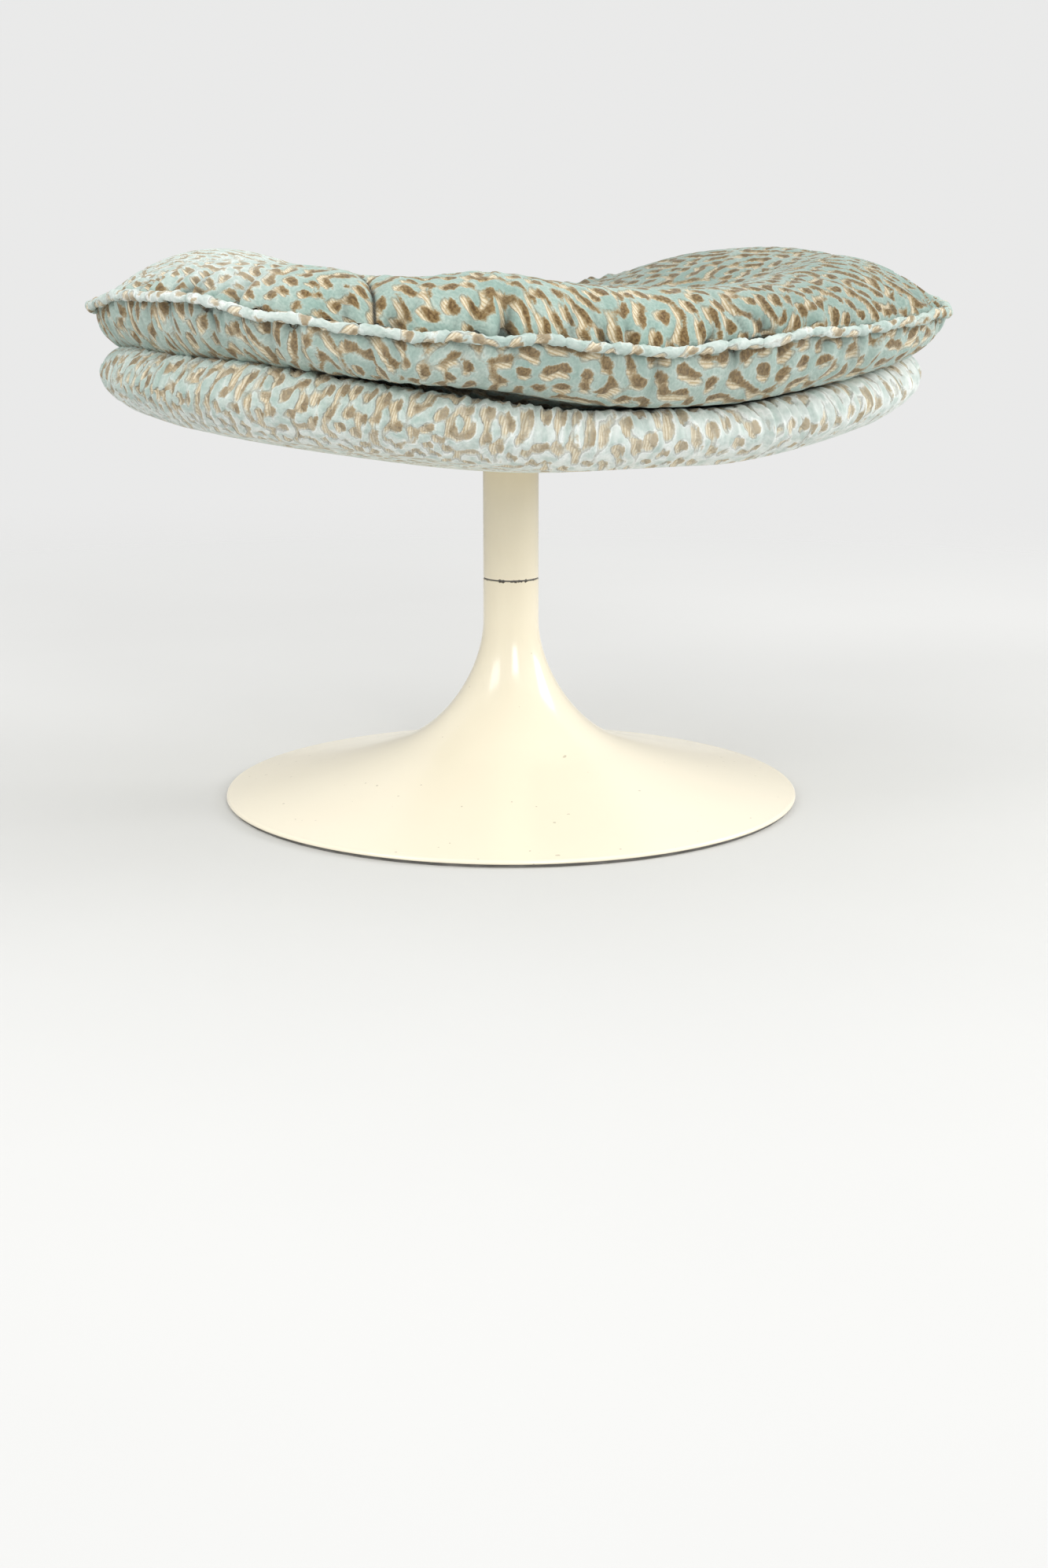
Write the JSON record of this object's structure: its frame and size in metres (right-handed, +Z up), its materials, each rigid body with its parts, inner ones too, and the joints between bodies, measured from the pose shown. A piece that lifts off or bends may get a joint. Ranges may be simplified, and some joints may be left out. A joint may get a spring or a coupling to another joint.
{
  "type": "swivel footstool",
  "caption": "Upholstered footstool: a dished, velvet covered shell with a corded seat cushion, turning on a post in a lacquered trumpet base.",
  "frame": {"origin": "on the floor, on the swivel axis", "axes": "+Z up along the swivel axis, +X along the seat's longer side"},
  "size_m": [0.5546, 0.5114, 0.374],
  "materials": {
    "lacquer": "semi-gloss ivory lacquer, chipped at the seam",
    "plastic": "matt grey",
    "steel": "zinc plated",
    "bearing": "sintered bronze",
    "plywood": "raw moulded plywood",
    "fill": "foam and wadding",
    "velvet": "cut velvet, aqua pile with a brown and cream animal print"
  },
  "bodies": {
    "base": {"base_casting": "lacquer", "floor_ring": "plastic", "pivot_post": "steel", "base_washer": "steel", "base_nut": "steel", "thrust_washer": "plastic", "retaining_washer": "steel", "retaining_screw": "steel"},
    "seat": {"upper_stem": "lacquer", "lower_bush": "bearing", "upper_bush": "bearing", "seat_plate": "steel", "plate_screw_1": "steel", "plate_screw_2": "steel", "plate_screw_3": "steel", "plate_screw_4": "steel", "tee_nut_1": "steel", "tee_nut_2": "steel", "tee_nut_3": "steel", "tee_nut_4": "steel", "shell_panel": "plywood", "shell_foam": "fill", "underside_wadding": "fill", "shell_cover": "velvet", "shell_under_cover": "velvet", "cushion_core": "fill", "cushion_top_panel": "velvet", "cushion_bottom_panel": "velvet", "cushion_welt": "velvet"}
  },
  "joints": [
    {"name": "seat_swivel", "type": "hinge", "parent": "base", "child": "seat", "pos_m": [0, 0, 0.153], "axis": [0, 0, 1], "continuous": true}
  ]
}
